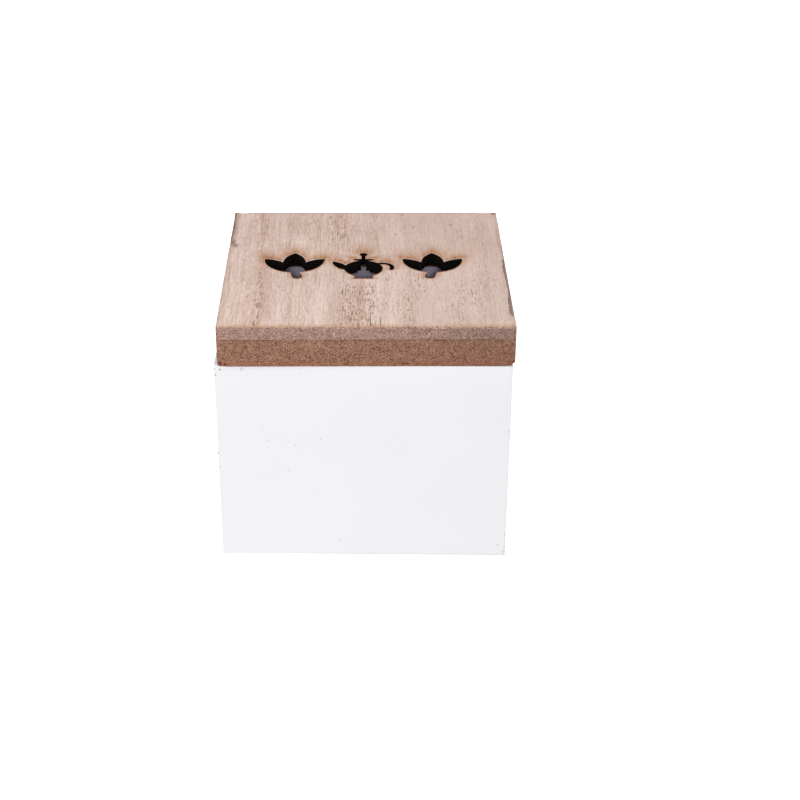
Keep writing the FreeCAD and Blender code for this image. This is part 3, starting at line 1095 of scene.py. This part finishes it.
def corner_worn(ring, half, over):
    """A ring of the frame with its four corners knocked in near the underside."""
    ring = ring.copy()
    for side_x, side_y, inward, high, power in CORNERS:
        if over >= high:
            continue
        limit = half - inward * (1 - over / high) ** power
        near = np.clip(3.0 - np.hypot(*(ring - half * (side_x, side_y)).T), 0, 1)
        for k, side, share in ((0, side_x, 1.0), (1, side_y, 0.3)):
            beyond = np.maximum(ring[:, k] * side - limit[k], 0)
            ring[:, k] -= side * beyond * near * share
    return ring


def dented(ring, bottom):
    """A ring of the frame's outer face with its dents, each pressed straight into its own side."""
    ring = ring.copy()
    for place, lift, radius, depth in DENTS:
        away = np.linalg.norm(ring - (*place, bottom + lift), axis=1)
        pressed = depth * np.exp(-(away / (0.6 * radius)) ** 2)
        outward = np.sign(place) * (np.abs(place) > NEAR_SIDE)
        ring[:, :2] -= outward * pressed[:, None]
    return ring


def make_frame(look):
    """The thick frame under the board."""
    bottom, top = heights("lid_frame")
    places, half = side_points(FINE_SPACING)
    inner_ring = to_lid(outlines("lid_frame")[1])
    rail = half[0] - np.abs(inner_ring).max()
    # The section, from the inside at the top, round the outer face, to the inside at the bottom.
    section = [(rail, top), (0.5, top), (0.05, top), (0.01, top - 0.04), (0, top - 0.10)]
    section += [(0, z) for z in np.linspace(top - 0.8, bottom + 1.5, 6)]
    section += [(0, bottom + z) for z in (1.25, 1.0, 0.75, 0.5, 0.3)]
    section += [(0.01, bottom + 0.10), (0.04, bottom + 0.03), (0.12, bottom), (1.6, bottom)]
    section += [(rail - 0.1, bottom), (rail, bottom + 0.1), (rail, (bottom + top) / 2)]
    parts = MeshParts()
    rings = []
    for inset, height in section:
        over = height - bottom
        if inset < rail - 0.2:
            worn = 0.03 * np.abs(wobble(*places.T, height * 0.6, scale=1.4))
            if over < 0.6:
                worn += 0.06 * np.abs(wobble(*places.T, 3.3, scale=0.7)) * (1 - over / 0.6)
            ring = corner_worn(inset_square(places, half, inset + worn, FRAME_CORNER), half, over)
        else:
            ring = inset_square(places, half, inset, OPENING_CORNER)
        ring = at_height(ring, height)
        on_face = inset < 0.2 and over < top - bottom - 0.3
        rings.append(parts.add_ring(dented(ring, bottom) if on_face else ring))
    for upper, lower in zip(rings, rings[1:] + rings[:1]):
        parts.add_band(lower, upper)
    piece = parts.make("sawn_frame", frame_finish(look), "frame_fibreboard", lid_place())
    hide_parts("lid_frame")
    return piece.data.materials[0]


def make_lips(material):
    """The four strips that keep the lid on the box."""
    for name in LIPS:
        mesh = frame["nodes"][name].data
        own = to_lid(np.array([v.co for v in mesh.vertices]) / MM)
        low, high = box_mm(name)
        low[:2], high[:2] = own.min(0), own.max(0)
        parts = panel_parts(low, high, {"others": LIP_EASE}, LIP_STEP)
        piece = parts.make(name + "_strip", material, "frame_fibreboard", lid_place())
        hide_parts(name)


# ---- studio ----

CAMERA_FROM_LID = (9.776, -496.491, 220.885)    # from the middle of the lid's top, millimetres
CAMERA_YAW, CAMERA_PITCH, CAMERA_ROLL = 0.176, 28.537, 0.507    # degrees
# The lights: place and the spot they point at, and how wide they are. Metres.
KEY_LIGHT = ((0.02, -1.00, 0.526), (0, 0, 0.08), 0.05)
FILL_LIGHT = ((-0.40, -0.38, 0.27), (0, 0, 0.05), 0.26)
FLOOR_REACH = 3.0               # from the middle to each side, in metres
FLOOR_GLOW = 0.60               # lifts the floor to white where it is seen directly


def make_camera(look):
    """The camera, a little right of the middle and looking down at the box."""
    yaw, pitch, roll = (math.radians(a) for a in (CAMERA_YAW, CAMERA_PITCH, CAMERA_ROLL))
    ahead = Vector((math.sin(yaw) * math.cos(pitch), math.cos(yaw) * math.cos(pitch), -math.sin(pitch)))
    right = Vector((math.cos(yaw), -math.sin(yaw), 0))
    up = right.cross(ahead)
    across = right * math.cos(roll) + up * math.sin(roll)
    upward = up * math.cos(roll) - right * math.sin(roll)
    camera = bpy.data.objects.new("camera", bpy.data.cameras.new("camera"))
    bpy.context.scene.collection.objects.link(camera)
    turn = Matrix((across, upward, -ahead)).transposed().to_4x4()
    place = Vector((*LID_MIDDLE, heights("lid_veneer")[1])) + Vector(CAMERA_FROM_LID)
    camera.matrix_world = Matrix.Translation(place * MM) @ turn
    camera.data.lens = look.focal
    camera.data.sensor_width = 36
    camera.data.clip_start, camera.data.clip_end = 0.01, 20
    bpy.context.scene.camera = camera


def seen_directly(tree):
    """1 for rays from the camera, a mirror or glass, and 0 for those that light the object."""
    rays = tree.nodes.new("ShaderNodeLightPath").outputs
    seen = rays["Is Camera Ray"]
    for name in ("Is Glossy Ray", "Is Transmission Ray"):
        larger = tree.nodes.new("ShaderNodeMath")
        larger.operation = "MAXIMUM"
        tree.links.new(seen, larger.inputs[0])
        tree.links.new(rays[name], larger.inputs[1])
        seen = larger.outputs[0]
    return seen


def make_world(look):
    """Even white light, and a white surround where it is seen directly."""
    world = bpy.data.worlds.new("white_surround")
    world.use_nodes = True
    tree = world.node_tree
    background = tree.nodes["Background"]
    background.inputs["Color"].default_value = (1, 1, 1, 1)
    strength = tree.nodes.new("ShaderNodeMapRange")
    tree.links.new(seen_directly(tree), strength.inputs["Value"])
    strength.inputs["To Min"].default_value = look.sky
    strength.inputs["To Max"].default_value = 1.0
    tree.links.new(strength.outputs[0], background.inputs["Strength"])
    bpy.context.scene.world = world


def make_floor():
    """A wide pale floor that shows white but keeps the object's shadow."""
    mesh = bpy.data.meshes.new("studio_floor")
    corners = [(x * FLOOR_REACH, y * FLOOR_REACH, 0) for x, y in SQUARE]
    mesh.from_pydata(corners, [], [(0, 1, 2, 3)])
    floor = bpy.data.objects.new("studio_floor", mesh)
    bpy.context.scene.collection.objects.link(floor)
    f = Finish("studio_floor")
    f.set(Base_Color=linear(240, 240, 241), Roughness=0.9, Specular_IOR_Level=0.0)
    f.set(Emission_Color=(1, 1, 1), Emission_Strength=f.span(seen_directly(f.tree), 0, 1, 0, FLOOR_GLOW))
    mesh.materials.append(f.material)


def add_soft_light(name, place, aim, size, power):
    """A square light at a place, turned to the spot it lights."""
    data = bpy.data.lights.new(name, "AREA")
    data.shape, data.size = "SQUARE", size
    data.energy = power
    light = bpy.data.objects.new(name, data)
    bpy.context.scene.collection.objects.link(light)
    light.location = place
    light.rotation_mode = "QUATERNION"
    light.rotation_quaternion = (Vector(aim) - light.location).to_track_quat("-Z", "Y")


def make_lights(look):
    """A soft light in front, little higher than the camera, and a near one on the left."""
    add_soft_light("soft_key", *KEY_LIGHT, look.key)
    add_soft_light("near_fill", *FILL_LIGHT, look.fill)


# ---- operators ----

class TEABOX_OT_stage(Operator):
    """Set up the floor, the light and the camera"""
    bl_idname = "teabox.stage"
    bl_label = "Studio"

    def execute(self, context):
        look = context.scene.teabox_studio
        make_floor()
        make_world(look)
        make_lights(look)
        make_camera(look)
        context.scene.view_settings.view_transform = "Standard"
        return {"FINISHED"}


class TEABOX_OT_box(Operator):
    """Build the painted walls and floor of the box"""
    bl_idname = "teabox.box"
    bl_label = "Painted box"

    def execute(self, context):
        make_walls(context.scene.teabox_box)
        return {"FINISHED"}


class TEABOX_OT_frame(Operator):
    """Build the lid's frame and the lip strips inside it"""
    bl_idname = "teabox.frame"
    bl_label = "Lid frame and lip"

    def execute(self, context):
        make_lips(make_frame(context.scene.teabox_lid))
        return {"FINISHED"}


class TEABOX_OT_board(Operator):
    """Build the lid's thin board with its burnt cut-outs"""
    bl_idname = "teabox.board"
    bl_label = "Lid board"

    def execute(self, context):
        make_board(context.scene.teabox_lid)
        return {"FINISHED"}


class TEABOX_OT_veneer(Operator):
    """Build the veneer sheet on top of the lid"""
    bl_idname = "teabox.veneer"
    bl_label = "Veneer"

    def execute(self, context):
        make_veneer(context.scene.teabox_lid)
        return {"FINISHED"}


OPERATORS = (TEABOX_OT_stage, TEABOX_OT_box, TEABOX_OT_frame, TEABOX_OT_board, TEABOX_OT_veneer)


class TEABOX_PT_sidebar(Panel):
    """The tea box's pieces and settings"""
    bl_idname = "TEABOX_PT_sidebar"
    bl_label = "Tea box"
    bl_space_type = "VIEW_3D"
    bl_region_type = "UI"
    bl_category = "Tea box"

    def draw(self, context):
        for operator in OPERATORS:
            self.layout.operator(operator.bl_idname)
        for group in ("teabox_box", "teabox_lid", "teabox_studio"):
            settings = getattr(context.scene, group)
            column = self.layout.column(align=True)
            for name in settings.__annotations__:
                column.prop(settings, name)


CLASSES = (BoxLook, LidLook, StudioLook) + OPERATORS + (TEABOX_PT_sidebar,)


def register():
    for cls in CLASSES:
        bpy.utils.register_class(cls)
    bpy.types.Scene.teabox_box = PointerProperty(type=BoxLook)
    bpy.types.Scene.teabox_lid = PointerProperty(type=LidLook)
    bpy.types.Scene.teabox_studio = PointerProperty(type=StudioLook)


def unregister():
    for name in ("teabox_box", "teabox_lid", "teabox_studio"):
        delattr(bpy.types.Scene, name)
    for cls in reversed(CLASSES):
        bpy.utils.unregister_class(cls)


def main():
    register()
    bpy.ops.teabox.stage()
    bpy.ops.teabox.box()
    bpy.ops.teabox.frame()
    bpy.ops.teabox.board()
    bpy.ops.teabox.veneer()


if __name__ == "__main__":
    main()
